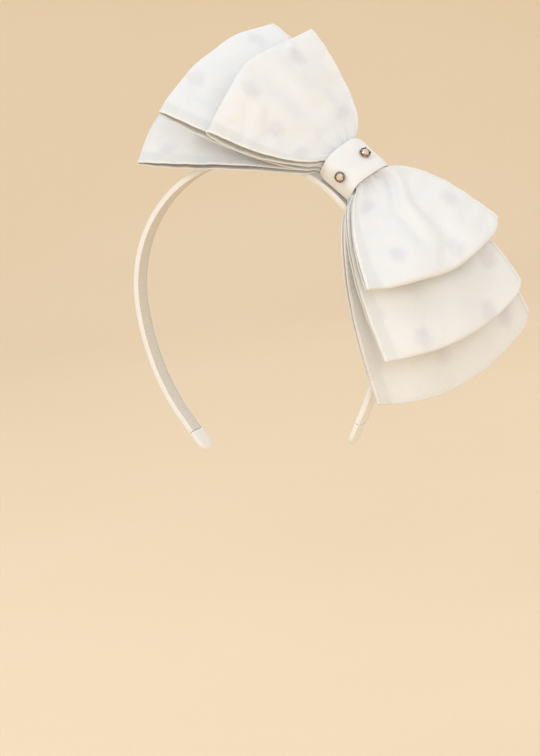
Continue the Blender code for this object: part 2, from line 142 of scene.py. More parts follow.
# ---- stones ----
STONES = {"near": (152.0, 0.0012), "far": (78.0, 0.0)}
STONE_RADIUS = 0.0020
STONE_GIRDLE_DEEP = 0.00012
STAR_RADIUS = 0.00158
STAR_RISE = 0.00062
STONE_TABLE = 0.0012
STONE_GIRDLE = 0.0015
STONE_TOP = 0.0025
STONE_POINT = 0.00045
CUP_OUTER = 0.00265
CUP_INNER = 0.0023


# ---- node and mesh helpers ----

class Shader:
    """A Principled material and short ways to add nodes to it."""

    def __init__(self, name, roughness=0.6, **settings):
        self.material = bpy.data.materials.new(name)
        self.material.use_nodes = True
        self.tree = self.material.node_tree
        self.bsdf = self.tree.nodes["Principled BSDF"]
        self.bsdf.inputs["Roughness"].default_value = roughness
        for key, value in settings.items():
            self.bsdf.inputs[key.replace("_", " ").title().replace("Ior", "IOR")].default_value = value

    def node(self, kind, links=None, **settings):
        made = self.tree.nodes.new("ShaderNode" + kind)
        for key, value in settings.items():
            setattr(made, key, value)
        for key, value in (links or {}).items():
            self.put(made.inputs[key], value)
        return made

    def put(self, socket, value):
        if isinstance(value, bpy.types.NodeSocket):
            self.tree.links.new(value, socket)
        else:
            socket.default_value = value

    def math(self, operation, a, b=0.0, c=0.0):
        return self.node("Math", {0: a, 1: b, 2: c}, operation=operation).outputs[0]

    def mix(self, share, a, b):
        made = self.node("Mix", data_type="RGBA")
        self.put(made.inputs["Factor"], share)
        self.put(made.inputs["A"], a if isinstance(a, bpy.types.NodeSocket) else (*a, 1))
        self.put(made.inputs["B"], b if isinstance(b, bpy.types.NodeSocket) else (*b, 1))
        return made.outputs["Result"]

    def remap(self, value, low, high, to_low=0.0, to_high=1.0, smooth=False):
        made = self.node("MapRange", {"Value": value, "From Min": low, "From Max": high,
                                      "To Min": to_low, "To Max": to_high},
                         interpolation_type="SMOOTHSTEP" if smooth else "LINEAR")
        return made.outputs["Result"]

    def place(self):
        return self.node("TexCoord").outputs["Object"]

    def noise(self, vector, scale, detail=2.0, rough=0.5):
        made = self.node("TexNoise", {"Vector": vector, "Scale": scale, "Detail": detail,
                                      "Roughness": rough})
        return made.outputs["Fac"]

    def attribute(self, name):
        return self.node("Attribute", attribute_name=name)

    def scaled(self, vector, scale):
        made = self.node("VectorMath", {0: vector, 1: scale}, operation="MULTIPLY")
        return made.outputs[0]

    def bump(self, height, distance, strength=1.0, normal=None):
        links = {"Height": height, "Distance": distance, "Strength": strength}
        if normal is not None:
            links["Normal"] = normal
        return self.node("Bump", links).outputs["Normal"]

    def finish(self, colour=None, rough=None, normal=None, **more):
        for key, value in dict(more, **{"Base Color": colour, "Roughness": rough,
                                        "Normal": normal}).items():
            if value is not None:
                self.put(self.bsdf.inputs[key], value)
        return self.material


def darker(colour, share):
    return tuple(share * x for x in colour)


def cloth_material(name, colour, shade, pitch, contrast=0.06, weave_height=0.00006, sheen=0.3,
                   rough=0.75, crinkle=0.00035, dots=None, sheer=None, slub=0.05):
    """Woven cloth in the 'cloth' attribute's metres, with slubs, fine crinkles and soft wear."""
    s = Shader(name, rough, sheen_weight=sheen, sheen_roughness=0.45)
    place = s.attribute("cloth").outputs["Vector"]
    split = s.node("SeparateXYZ", {0: place})
    warp = s.math("SINE", s.math("MULTIPLY", split.outputs[0], 2 * math.pi / pitch))
    weft = s.math("SINE", s.math("MULTIPLY", split.outputs[1], 2 * math.pi / pitch))
    weave = s.math("MULTIPLY_ADD", s.math("MULTIPLY", warp, weft), 0.5, 0.5)
    slub_a = s.noise(s.scaled(place, (1500, 90, 0)), 1.0, 2.0)
    slub_b = s.noise(s.scaled(place, (90, 1500, 7)), 1.0, 2.0)
    thread = s.math("MULTIPLY", s.math("ADD", slub_a, slub_b), 0.5)
    clouds = s.noise(s.scaled(place, (28, 28, 3)), 1.0, 3.0)
    crumple = s.noise(s.scaled(place, (150, 150, 5)), 1.0, 4.0, 0.55)
    tone = s.mix(s.remap(clouds, 0.3, 0.7), colour, shade)
    tone = s.mix(s.math("MULTIPLY", s.remap(thread, 0.35, 0.65), slub * 4), tone, shade)
    if dots:
        tone = s.mix(s.math("MULTIPLY", s.attribute("dot").outputs["Fac"],
                            s.remap(thread, 0.3, 0.7, 0.65, 1.0)), tone, dots)
    deep = darker(shade, 0.72)
    net = contrast
    if sheer:
        edge = s.attribute("sheer").outputs["Fac"]
        tone = s.mix(s.math("MULTIPLY", edge, 0.75), tone, sheer)
        net = s.math("MULTIPLY_ADD", edge, contrast * 1.6, contrast)
    tone = s.mix(s.math("MULTIPLY", s.math("SUBTRACT", 1.0, weave), net), tone, deep)
    normal = s.bump(crumple, crinkle)
    normal = s.bump(s.math("ADD", weave, thread), weave_height, 1.0, normal)
    return s.finish(tone, s.remap(thread, 0.3, 0.7, rough - 0.07, min(rough + 0.08, 1)), normal)


def ribbon_material(name, colour, shade, rib_pitch, rib_height, rough, sheen, edge_share):
    """Narrow ribbon: 'cloth' x runs along it, y across it from -1 to 1; its selvedges are thicker."""
    s = Shader(name, rough, sheen_weight=sheen, sheen_roughness=0.3)
    place = s.attribute("cloth").outputs["Vector"]
    split = s.node("SeparateXYZ", {0: place})
    rib = s.math("SINE", s.math("MULTIPLY", split.outputs[0], 2 * math.pi / rib_pitch))
    grain = s.noise(s.scaled(place, (60, 40, 1)), 1.0, 3.0)
    fine = s.noise(s.scaled(place, (2600, 8, 1)), 1.0, 2.0)
    across = s.math("ABSOLUTE", split.outputs[1])
    selvedge = s.remap(across, edge_share - 0.05, edge_share, smooth=True)
    tone = s.mix(s.remap(grain, 0.3, 0.7), colour, shade)
    tone = s.mix(s.math("MULTIPLY", s.remap(rib, -1, 1), 0.10), tone, darker(shade, 0.8))
    tone = s.mix(s.math("MULTIPLY", selvedge, 0.35), tone, shade)
    height = s.math("ADD", s.math("MULTIPLY", rib, 0.5), s.math("MULTIPLY", selvedge, 1.4))
    height = s.math("ADD", height, s.math("MULTIPLY", fine, 0.6))
    return s.finish(tone, s.remap(fine, 0.3, 0.7, rough - 0.05, rough + 0.08),
                    s.bump(height, rib_height))


def fold_material(name, colour, shade):
    """Turned-over organza, several layers thick, by place in space."""
    s = Shader(name, 0.75, sheen_weight=0.25, sheen_roughness=0.45)
    place = s.place()
    fine, clouds = s.noise(place, 2400.0, 2.0), s.noise(place, 120.0, 3.0)
    tone = s.mix(s.remap(clouds, 0.3, 0.7), colour, shade)
    tone = s.mix(s.remap(fine, 0.35, 0.75, 0.0, 0.35), tone, darker(shade, 0.8))
    return s.finish(tone, s.remap(fine, 0.3, 0.7, 0.68, 0.85), s.bump(fine, 0.00007))


def thread_material(name, colour, pitch=0.0007):
    """Twisted thread, by place in space."""
    s = Shader(name, 0.7, sheen_weight=0.3)
    place = s.place()
    wave = s.node("TexWave", {"Vector": place, "Scale": 1 / pitch / 6, "Distortion": 1.5})
    fuzz = s.noise(place, 2500.0, 2.0)
    tone = s.mix(s.math("MULTIPLY", wave.outputs["Fac"], 0.35), colour, darker(colour, 0.7))
    return s.finish(tone, s.remap(fuzz, 0.3, 0.7, 0.6, 0.8),
                    s.bump(s.math("ADD", wave.outputs["Fac"], fuzz), 0.00008))


def plastic_material(name, colour, rough):
    s = Shader(name, rough)
    place = s.place()
    fine, clouds = s.noise(place, 900.0, 2.0), s.noise(place, 90.0, 3.0)
    tone = s.mix(s.remap(clouds, 0.3, 0.7), colour, darker(colour, 0.9))
    return s.finish(tone, s.remap(fine, 0.3, 0.7, rough - 0.06, rough + 0.1), s.bump(fine, 0.00004))


def glue_material(name):
    s = Shader(name, 0.3, specular_ior_level=0.4)
    place = s.place()
    lumps, fine = s.noise(place, 260.0, 3.0), s.noise(place, 1400.0, 2.0)
    tone = s.mix(s.remap(lumps, 0.3, 0.7), (0.80, 0.78, 0.72), (0.66, 0.62, 0.54))
    return s.finish(tone, s.remap(fine, 0.3, 0.7, 0.22, 0.45), s.bump(lumps, 0.0004))


def metal_material(name):
    s = Shader(name, 0.28, metallic=1.0)
    place = s.place()
    worn, fine = s.noise(place, 700.0, 4.0), s.noise(place, 4200.0, 2.0)
    tone = s.mix(s.remap(worn, 0.35, 0.65), (0.20, 0.145, 0.115), (0.46, 0.36, 0.29))
    return s.finish(tone, s.remap(fine, 0.3, 0.7, 0.18, 0.42), s.bump(fine, 0.00002))


def crystal_material(name):
    """Foil-backed glass: bright facets under a clear coat, each facet tinted between warm white and peach
    by its direction, as painted fire and painted reflection of the warm floor.
    """
    s = Shader(name, 0.06, metallic=0.75, coat_weight=1.0, coat_roughness=0.02, specular_ior_level=0.8)
    place = s.place()
    facet = s.node("NewGeometry").outputs["Normal"]
    painted_fire_tint = s.noise(s.scaled(facet, (2.1, 2.1, 2.1)), 1.3, 1.0)
    scuffs = s.noise(place, 3500.0, 3.0)
    # painted fire and reflection: each facet's base colour runs from warm white to peach by its facing
    tone = s.mix(s.remap(painted_fire_tint, 0.35, 0.65), (0.98, 0.93, 0.88), (0.80, 0.62, 0.48))
    return s.finish(tone, s.remap(scuffs, 0.45, 0.8, 0.03, 0.14))


def new_mesh(name, points, faces, material=None, smooth=True, sharp=None):
    mesh = bpy.data.meshes.new(name)
    mesh.from_pydata([tuple(p) for p in np.asarray(points, float).reshape(-1, 3)], [], faces)
    mesh.update()
    if smooth:
        mesh.shade_smooth()
        if sharp:
            mesh.set_sharp_from_angle(angle=math.radians(sharp))
    if material:
        mesh.materials.append(material)
    obj = bpy.data.objects.new(name, mesh)
    bpy.context.collection.objects.link(obj)
    return obj


def grid_faces(rows, columns, wrap_rows=False, wrap_columns=False, flip=False):
    faces = []
    for i in range(rows if wrap_rows else rows - 1):
        for j in range(columns if wrap_columns else columns - 1):
            k, m = (i + 1) % rows, (j + 1) % columns
            face = (i * columns + j, k * columns + j, k * columns + m, i * columns + m)
            faces.append(face[::-1] if flip else face)
    return faces


def tube_faces(rows, columns):
    """A tube's sides and its two end caps."""
    caps = [tuple(range(columns)), tuple(range((rows - 1) * columns, rows * columns))[::-1]]
    return grid_faces(rows, columns, wrap_columns=True) + caps


def set_cloth(obj, values, name="cloth"):
    """Store one vector or number per point, for the shader."""
    values = np.asarray(values, float)
    if values.ndim > 1 and values.shape[-1] == 3:
        made = obj.data.attributes.new(name, "FLOAT_VECTOR", "POINT")
        made.data.foreach_set("vector", values.reshape(-1))
    else:
        made = obj.data.attributes.new(name, "FLOAT", "POINT")
        made.data.foreach_set("value", values.reshape(-1))


def solidify(obj, thickness):
    made = obj.modifiers.new("thickness", "SOLIDIFY")
    made.thickness = thickness
    made.offset = 0.0
    made.use_even_offset = False


def subdivide(obj):
    made = obj.modifiers.new("smooth", "SUBSURF")
    made.levels = made.render_levels = 1


def smoothstep(x):
    x = np.clip(x, 0, 1)
    return x * x * (3 - 2 * x)


def unit(vectors):
    return vectors / np.linalg.norm(vectors, axis=-1, keepdims=True)


def squared(angle, power):
    """Cosine and sine of an angle, with their sizes raised to a power: below 1 is squarer."""
    across, up = np.cos(angle), np.sin(angle)
    return np.sign(across) * np.abs(across) ** power, np.sign(up) * np.abs(up) ** power


def read_line(at, run, values):
    """A line's vectors at one or more distances along it."""
    return np.stack([np.interp(at, run, values[:, k]) for k in range(3)], axis=-1)


def run_along(points):
    """Distance along a line to each of its points."""
    return np.concatenate([[0], np.cumsum(np.linalg.norm(np.diff(points, axis=0), axis=1))])


# ---- the bow's frame ----

def band_station(degrees):
    """Middle of the band's thickness and its outward direction, from the crown towards +X."""
    angle = math.radians(degrees)
    half_height = CROWN_RADIUS if abs(degrees) <= 90 else DROP_RADIUS
    point = np.array([CROWN_RADIUS * math.sin(angle), 0, half_height * math.cos(angle)])
    outward = np.array([half_height * math.sin(angle), 0, CROWN_RADIUS * math.cos(angle)])
    return point, outward / np.linalg.norm(outward)


def bow_matrix():
    point, outward = band_station(BOW_ANGLE)
    middle = Vector(point + outward * BOW_RISE) + Vector((0, BOW_SHIFT, 0))
    turn = Matrix.Rotation(math.radians(BOW_ANGLE), 4, "Y")
    tilt = Matrix.Rotation(math.radians(BOW_TILT), 4, "X")
    return Matrix.Translation(middle) @ turn @ tilt


BOW_FRAME = np.array(bow_matrix())


def to_world(points, matrix=BOW_FRAME):
    return np.asarray(points) @ matrix[:3, :3].T + matrix[:3, 3]


# ---- loops ----

def loop_frame(side, sweep, lift, twist):
    sweep, lift, twist = (math.radians(value) for value in (sweep, lift, twist))
    reach, width, out = np.array([side, 0.0, 0.0]), np.array([0.0, 1.0, 0.0]), np.array([0, 0, 1.0])
    reach, width = (reach * math.cos(sweep) + width * math.sin(sweep),
                    width * math.cos(sweep) - reach * math.sin(sweep))
    reach, out = (reach * math.cos(lift) + out * math.sin(lift),
                  out * math.cos(lift) - reach * math.sin(lift))
    return reach, width * math.cos(twist) + out * math.sin(twist)


def loop_surface(tier, side, loop, along, across, level, tip_shape):
    """Points for along (rows) by across (columns) at level out of the loop's middle."""
    u, v = along[:, None], across[None, :]
    sweep, lift, twist, near_belly, far_belly = loop[:5]
    if lift < 0:
        lift *= math.degrees(tier["reach"] / CROWN_RADIUS / 2)
    reach, tip_width = loop_frame(side, sweep, lift, twist)
    start = np.array([side * NECK_HALF_LENGTH, 0.0, tier["rank"] * TIER_PITCH])
    length = tier["reach"] - NECK_HALF_LENGTH
    end = start + reach * length
    bend = start + np.array([side * length * NECK_BEND, 0.0, 0.0])
    centre = start * (1 - u) ** 2 + bend * 2 * u * (1 - u) + end * u ** 2
    forward = unit((bend - start) * 2 * (1 - u) + (end - bend) * 2 * u)
    turn = smoothstep(u)
    width = unit(np.array([0.0, 1.0, 0.0]) * (1 - turn) + tip_width * turn)
    normal = unit(np.cross(forward, width) * side)
    half = tier["neck"] * STRAP_HALF_ACROSS * (1 - u) + tier["tip_width"] / 2 * u
    bow = u ** BELLY_GROWTH
    half = half + np.where(v < 0, near_belly, far_belly) * 4 * bow * (1 - bow)
    ahead = tier["bulge"] * u ** 2 * tip_shape(v)
    out = level - tier["arch"] * u * v ** 2
    return (centre[:, None, :] + width[:, None, :] * (half * v)[..., None]
            + forward[:, None, :] * ahead[..., None] + normal[:, None, :] * out[..., None])


def round_tip(v):
    return 1 - v ** 2


def soft_corner_tip(v):
    """A round tip whose +Y corner is rounded off."""
    return 1 - v ** 2 - 0.38 * (np.maximum(v - 0.82, 0) / 0.18) ** 2


def pointed_tip(v):
    """Straighter on either side of a soft corner."""
    return 1 - (np.sqrt(v ** 2 + 0.03) - math.sqrt(0.03)) / (math.sqrt(1.03) - math.sqrt(0.03))


def fold_stations(steps):
    """(along, level share) from the front neck round the folded tip to the back neck."""
    turn = np.pi / 2 * (1 - np.arange(2 * steps + 1) / steps)
    power = 2 / FOLD_ROUNDNESS
    along = np.abs(np.cos(turn)) ** power
    along[[0, -1]] = 0
    share = np.sign(np.sin(turn)) * np.abs(np.sin(turn)) ** power
    share[steps] = 0
    return along, share


# (tier, side): waves over the loop as (height, turns across, phase, turns along)
WAVES = {
    ("front", -1): ((0.0010, 0.55, 0.4, 0.30), (0.0005, 1.3, 2.0, 0.5)),
    ("front", 1): ((0.0009, 0.60, 2.2, 0.25), (0.0006, 1.2, 0.3, 0.6)),
    ("middle", -1): ((0.0012, 0.50, 3.6, 0.35), (0.0005, 1.5, 1.0, 0.4)),
    ("middle", 1): ((0.0012, 0.65, 1.4, 0.30), (0.0006, 1.2, 4.0, 0.5)),
    ("back", -1): ((0.0012, 0.55, 5.0, 0.30), (0.0005, 1.4, 2.6, 0.6)),
    ("back", 1): ((0.0013, 0.60, 0.9, 0.35), (0.0006, 1.3, 3.1, 0.4)),
}


def gathers(v):
    """Fine pleats that the thread draws up at the neck, as heights from -1 to 1."""
    return (np.sin(9.5 * v + 1.3) + 0.6 * np.sin(17.0 * v + 0.5) + 0.35 * np.sin(29.0 * v + 2.0)) / 1.6


def relief(word, side, along, share, across):
    """How far the cloth stands off the plain folded strip, out of the loop's middle."""
    u, v, f = along[:, None], across[None, :], share[:, None]
    front = smoothstep((f + 0.25) / 0.5)
    height = 0.00045 * np.exp(-(u / 0.20) ** 2) * gathers(v)
    fan = u ** 0.7 * (1 - u) ** 0.8
    height = height + 0.0012 * fan * (0.5 * np.sin(7.3 * v + side + 0.7 * front)
                                      + 0.5 * np.sin(12.1 * v + 2.0 * side)) * (0.55 - 0.4 * v ** 2)
    for rise, turns, phase, along_turns in WAVES[word, side]:
        wave = np.sin(2 * np.pi * (turns * v + along_turns * u) + phase)
        height = height + rise * wave * smoothstep(u / 0.7)
    if (word, side) == ("front", 1):
        height = height + front * pleat(u, v)
    return height


def pleat(u, v):
    """One deep pleat that leaves the strap and dies out towards the tip."""
    line = 0.03 + 0.62 * (1 - smoothstep((u - 0.02) / 0.5)) - 0.05 * u
    depth = 0.0024 * smoothstep(u / 0.10) * (1 - smoothstep((u - 0.55) / 0.42))
    sharp = 0.022 + 0.08 * smoothstep((u - 0.6) / 0.35)
    step = 0.5 + 0.5 * np.tanh((v - line) / sharp)
    ridge = np.exp(-((v - line - 0.12) / 0.13) ** 2)
    hollow = np.exp(-((v - line + 0.12) / 0.12) ** 2)
    return depth * (0.75 * (step - 0.5) + 0.45 * ridge - 0.5 * hollow)


def tier_ring(word, tier):
    """The middle surface of a tier's two layers, and each point's (side, along, share, across)."""
    along, share = fold_stations(SHEET_STEPS)
    across = np.sin(np.linspace(-1, 1, COLUMNS) * np.pi / 2 * 0.86) / math.sin(np.pi / 2 * 0.86)
    blocks, facts = [], []
    for side, key in ((-1, "left"), (1, "right")):
        u, f = (along[::-1], share[::-1]) if side < 0 else (along, share)
        closing = 1 - tier[key][5] * across[None, :] ** 2
        level = f[:, None] * (NECK_OPENING + tier["puff"] * closing * u[:, None] ** PUFF_GROWTH)
        level = level + relief(word, side, u, f, across)
        shape = soft_corner_tip if side > 0 else round_tip
        if (word, side) == ("front", -1):
            shape = pointed_tip
        blocks.append(loop_surface(tier, side, tier[key], u, across, level, shape))
        facts.append(np.stack(np.broadcast_arrays(float(side), u[:, None], f[:, None],
                                                  across[None, :]), axis=-1))
    return np.concatenate(blocks), np.concatenate(facts), across


def settle(grid, facts):
    """Let the cloth, a little fuller than its frame, buckle by itself in a short cloth run.

    Only the move out of the sheet is kept. It dies away at the neck, where layers are close, and
    mostly dies away at the hemmed edges.
    """
    rows, columns = grid.shape[:2]
    enlarge = SETTLE_SCALE
    obj = new_mesh("settling", grid * enlarge, grid_faces(rows, columns, True, flip=True))
    along = facts[..., 1].reshape(-1)
    group = obj.vertex_groups.new(name="held")
    for index, u in enumerate(along):
        group.add([index], 1.0 if u < 0.12 else 0.22, "REPLACE")
    cloth = obj.modifiers.new("cloth", "CLOTH")
    settings = cloth.settings
    settings.quality = 5
    settings.mass = 0.15
    settings.tension_stiffness = settings.compression_stiffness = 25
    settings.shear_stiffness = 12
    settings.bending_stiffness = 8.0
    settings.shrink_min = settings.shrink_max = -0.025
    settings.vertex_group_mass = "held"
    settings.pin_stiffness = 2.0
    settings.effector_weights.gravity = 0.0
    cloth.collision_settings.use_collision = False
    scene = bpy.context.scene
    for number in range(1, SETTLE_FRAMES + 1):
        scene.frame_set(number)
    settled = obj.evaluated_get(bpy.context.evaluated_depsgraph_get())
    points = np.empty(rows * columns * 3)
    settled.data.vertices.foreach_get("co", points)
    moved = points.reshape(grid.shape) / enlarge - grid
    scene.frame_set(1)
    bpy.data.objects.remove(obj, do_unlink=True)
    normals = ring_normals(grid)
    out = (moved * normals).sum(axis=2)
    share = facts[..., 2]
    most = SETTLE_MOST * smoothstep((facts[..., 1] - 0.1) / 0.6) * (0.35 + 0.65 * np.abs(share))
    most = most * (1 - 0.8 * facts[..., 3] ** 2)
    out = most * np.tanh(out / np.maximum(most, 1e-9))
    return grid + normals * out[..., None]


def ring_normals(grid):
    around = np.roll(grid, -1, axis=0) - np.roll(grid, 1, axis=0)
    return unit(np.cross(around, np.gradient(grid, axis=1)))


def sampled(grid, across, at):
    """The ring at other stations across."""
    place = np.interp(at, across, np.arange(len(across)))
    low = np.minimum(place.astype(int), len(across) - 2)
    share = (place - low)[None, :, None]
    return grid[:, low] * (1 - share) + grid[:, low + 1] * share


def dot_field(word, facts, tier):
    """1 inside a printed dot, falling softly to 0."""
    side, u, share, v = np.moveaxis(facts, -1, 0)
    value = np.zeros(u.shape)
    for (name, loop_side), places in DOTS.items():
        if name != word:
            continue
        for along, across in places:
            for front in (True, False):
                here = (side == loop_side) & ((share >= 0) == front)
                target = across if front else -across
                reach = along if front else 1.05 - 0.7 * along
                gap_u = (u - reach) * tier["reach"]
                neck = tier["neck"] * STRAP_HALF_ACROSS
                width = neck * (1 - reach) + tier["tip_width"] / 2 * reach
                gap_v = (v - target) * width
                far = np.hypot(gap_u, gap_v)
                ragged = 1 + 0.10 * np.sin(5 * np.arctan2(gap_v, gap_u) + 9 * along)
                spot = 1 - smoothstep((far - DOT_RADIUS * ragged + DOT_SOFT) / (2 * DOT_SOFT))
                value = np.where(here, np.maximum(value, spot), value)
    return value


def build_tier(word, tier, mats):
    ring, facts, across = tier_ring(word, tier)
    ring = settle(ring, facts)
    normals = ring_normals(ring)
    outer = ring + normals * LAYER_PITCH / 2
    inner = ring - normals * LAYER_PITCH / 2
    steps = np.linalg.norm(np.roll(ring, -1, axis=0) - ring, axis=2).mean(axis=1)
    run = np.concatenate([[0], np.cumsum(steps)[:-1]])
    rows = len(ring)

    half = tier["tip_width"] / 2
    cloth = np.stack(np.broadcast_arrays(run[:, None], across[None, :] * half, 0.0), axis=-1)
    sheet = new_mesh(word + "_organza", to_world(outer), grid_faces(rows, COLUMNS, True, flip=True),
                     mats["organza"])
    set_cloth(sheet, cloth)
    set_cloth(sheet, dot_field(word, facts, tier), "dot")
    sheer = np.broadcast_to(1 - smoothstep((across[None, :] - LINING_FROM + 0.03) / 0.04),
                            ring.shape[:2])
    sheer = np.maximum(sheer, smoothstep((across[None, :] - LINING_TO) / 0.02))
    set_cloth(sheet, sheer, "sheer")
    solidify(sheet, ORGANZA_THICK)
    subdivide(sheet)

    inside = np.linspace(LINING_FROM, LINING_TO, COLUMNS - 4)
    lining = new_mesh(word + "_loop_lining", to_world(sampled(inner, across, inside)),
                      grid_faces(rows, len(inside), True, flip=True), mats["loop_lining"])
    set_cloth(lining, np.stack(np.broadcast_arrays(run[:, None], inside[None, :] * half, 0.0), axis=-1))
    solidify(lining, LINING_CLOTH_THICK)
    subdivide(lining)

    trim = build_hems(word, outer, facts, normals, mats)
    for piece, node, width, with_it in ((sheet, "_tier", 1.0, trim),
                                        (lining, "_tier_lining", (LINING_TO - LINING_FROM) / 2, [])):
        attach(piece, "root")
        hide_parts(word + node)


def edge_lines(grid, normals, sign):
    """Rows read inwards from one long edge, with the distance run from that edge."""
    order = grid[:, ::-1] if sign > 0 else grid
    facing = normals[:, ::-1] if sign > 0 else normals
    step = np.linalg.norm(np.diff(order, axis=1), axis=2)
    run = np.concatenate([np.zeros((len(grid), 1)), np.cumsum(step, axis=1)], axis=1)
    return order, facing, run


def inset_line(order, facing, run, inset, rise):
    """The line at a distance in from the edge and a height off the sheet, and its normals."""
    at = max(inset, 0.0)
    line = np.array([read_line(at, row, place) for row, place in zip(run, order)])
    out = unit(np.array([read_line(at, row, place) for row, place in zip(run, facing)]))
    if inset < 0:
        line = line + unit(order[:, 0] - order[:, 1]) * -inset
    return line + out * rise, out


def stitches(line, normals, zigzag=0.0, closed=True):
    """Points and faces of a row of short raised stitches along a line."""
    if closed:
        line, normals = np.vstack([line, line[:1]]), np.vstack([normals, normals[:1]])
    run = run_along(line)
    count = int(run[-1] / STITCH_PITCH)
    at = (np.arange(count) + 0.5) * run[-1] / count
    middle, up = read_line(at, run, line), unit(read_line(at, run, normals))
    ahead = unit(read_line(np.minimum(at + 0.0003, run[-1]), run, line)
                 - read_line(at - 0.0003, run, line))
    aside = unit(np.cross(up, ahead))
    turn = math.radians(zigzag) * (-1) ** np.arange(count)
    ahead, aside = (ahead * np.cos(turn)[:, None] + aside * np.sin(turn)[:, None],
                    aside * np.cos(turn)[:, None] - ahead * np.sin(turn)[:, None])
    stations = ((-0.5, 0.25, -0.5), (-0.3, 0.85, 0.25), (0.0, 1.0, 0.6), (0.3, 0.85, 0.25),
                (0.5, 0.25, -0.5))
    sides = 6
    points, faces = [], []
    for m, a, s, u in zip(middle, ahead, aside, up):
        base = len(points)
        for along, fat, rise in stations:
            for k in range(sides):
                angle = 2 * math.pi * k / sides
                points.append(m + a * along * STITCH_LENGTH + u * rise * STITCH_RADIUS
                              + (s * math.cos(angle) + u * math.sin(angle)) * fat * STITCH_RADIUS)
        faces += [tuple(base + i for i in face) for face in tube_faces(len(stations), sides)]
    return points, faces


def build_hems(word, outer, facts, normals, mats):
    """The organza's long edges bound by a narrow turned hem and run with stitches."""
    rows = len(outer)
    hem_points, hem_faces, sewn_points, sewn_faces = [], [], [], []
    profile = list(HEM_PROFILE) + [(inset, -rise) for inset, rise in HEM_PROFILE[::-1]]
    runs = []
    for sign in (-1, 1):
        lines = edge_lines(outer, normals, sign)
        grid = np.stack([inset_line(*lines, inset, rise)[0] for inset, rise in profile], axis=1)
        base = len(hem_points) and len(np.concatenate(hem_points))
        hem_points.append(grid.reshape(-1, 3))
        made = grid_faces(rows, len(profile), wrap_rows=True, wrap_columns=True)
        hem_faces += [tuple(base + i for i in face) for face in made]
        line, out = inset_line(*lines, STITCH_INSET, 0.00028)
        runs.append(stitches(line, out, 32.0 if (word, sign) == ("back", -1) else 6.0))
    if word == "back":
        runs += tip_stitches(outer, facts, normals)
    for points, faces in runs:
        base = len(sewn_points)
        sewn_points += list(points)
        sewn_faces += [tuple(base + i for i in face) for face in faces]
    hems = new_mesh(word + "_hems", to_world(np.concatenate(hem_points)), hem_faces, mats["hem"])
    fix_normals(hems)
    sewn = new_mesh(word + "_stitching", to_world(sewn_points), sewn_faces, mats["stitch"])
    fix_normals(sewn)
    for piece in (hems, sewn):
        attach(piece, "root")
    return [hems, sewn]


def tip_stitches(outer, facts, normals):
    """A row of stitches a little way in from each folded tip, on the front sheet."""
    runs = []
    half = len(outer) // 2
    for rows in (range(half), range(half, 2 * half)):
        block, facing = outer[rows.start:rows.stop], normals[rows.start:rows.stop]
        share = facts[rows.start:rows.stop, 0, 2]
        tip = int(np.argmin(np.abs(share)))
        step = 1 if share[min(tip + 1, len(share) - 1)] > 0 else -1
        order = list(range(tip, len(share) if step > 0 else -1, step))
        strip, out = block[order], facing[order]
        run = np.concatenate([[np.zeros(strip.shape[1])],
                              np.cumsum(np.linalg.norm(np.diff(strip, axis=0), axis=2), axis=0)])
        line, up = [], []
        for j in range(1, strip.shape[1] - 1):
            line.append(read_line(TIP_STITCH_INSET, run[:, j], strip[:, j]))
            up.append(read_line(TIP_STITCH_INSET, run[:, j], out[:, j]))
        up = unit(np.array(up))
        runs.append(stitches(np.array(line) + up * 0.00014, up, 8.0, closed=False))
    return runs


# ---- knot strap ----

def strap_section(degrees, half_across, half_deep):
    across, up = squared(np.radians(degrees), 2 / STRAP_ROUNDNESS)
    return half_across * across, half_deep * up


def build_strap(mats):
    """A folded strip wrapped once round the neck; its ends are sewn together underneath."""
    turns, rim = 120, 26
    degrees = STRAP_SEAM + STRAP_SEAM_GAP / 2 + np.linspace(0, 360 - STRAP_SEAM_GAP, turns)
    shape = np.linspace(0, 2 * np.pi, rim, endpoint=False)
    # flat-sided profile: across its width (-1 to 1) and through its thickness (0 outer, 1 inner)
    wide = squared(shape, 0.35)[0]
    deep = 0.5 - 0.5 * squared(shape, 0.6)[1]
    points, cloth = [], []
    y0, z0 = strap_section(degrees, STRAP_HALF_ACROSS, STRAP_HALF_DEEP)
    run = np.concatenate([[0], np.cumsum(np.hypot(np.diff(y0), np.diff(z0)))])
    for i, angle in enumerate(degrees):
        around = math.radians(angle)
        narrow = 1 - 0.035 * math.cos(2 * around + 0.6) - 0.03 * max(0.0, math.sin(around))
        for w, d in zip(wide, deep):
            crease = 0.00022 * math.sin(8.5 * w + 1.1 * math.sin(around) + 0.8)
            crease += 0.00014 * math.sin(15.0 * w - 0.9 * math.cos(2 * around))
            crown = -0.0006 * w ** 4
            inward = STRAP_THICK * d - (crown + crease) * (1 - d)
            y, z = strap_section(angle, STRAP_HALF_ACROSS - inward, STRAP_HALF_DEEP - inward)
            drift = 0.0005 * math.sin(2 * around + 1.0)
            points.append((w * narrow * STRAP_WIDTH / 2 + drift, y, z))
            cloth.append((run[i], w * STRAP_WIDTH / 2, 0))
    strap = new_mesh("knot_wrap", to_world(points), tube_faces(turns, rim), mats["strap"])
    fix_normals(strap)
    set_cloth(strap, cloth)
    subdivide(strap)
    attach(strap, "root")
    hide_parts("knot_strap")


def fix_normals(obj):
    mesh = bmesh.new()
    mesh.from_mesh(obj.data)
    bmesh.ops.recalc_face_normals(mesh, faces=mesh.faces)
    mesh.to_mesh(obj.data)
    mesh.free()


# ---- band ----

def tip_station(side, distance):
    start, outward = band_station(side * STRAIGHT_FROM)
    along = np.array([outward[2], 0, -outward[0]]) * side
    return start + along * distance, outward


